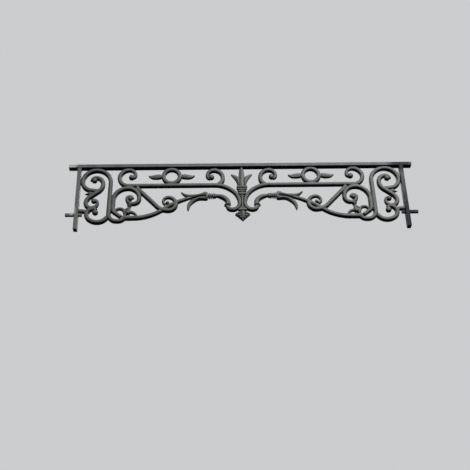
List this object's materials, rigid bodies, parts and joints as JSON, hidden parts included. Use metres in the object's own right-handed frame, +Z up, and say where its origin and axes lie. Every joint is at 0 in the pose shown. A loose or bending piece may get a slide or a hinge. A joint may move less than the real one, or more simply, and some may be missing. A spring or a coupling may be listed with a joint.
{
  "type": "cast iron window railing",
  "caption": "Low window railing: a flat top rail and two uprights carrying mirrored cast scrollwork with a centre finial, fixed between the walls of the opening.",
  "frame": {"origin": "middle of the flat face where the left end of the top rail meets the wall", "axes": "+X along the top rail from the left wall to the right wall, +Y from the street into the room, +Z up"},
  "size_m": [1.184, 0.022, 0.256],
  "materials": {
    "cast_iron": "weathered dark grey paint",
    "bar_iron": "weathered dark grey paint with rust at the ends"
  },
  "bodies": {
    "root": {"top_rail": "bar_iron", "left_upright": "bar_iron", "right_upright": "bar_iron", "left_tang": "bar_iron", "right_tang": "bar_iron", "left_scrollwork": "cast_iron", "right_scrollwork": "cast_iron", "centre_finial": "cast_iron"}
  },
  "joints": []
}
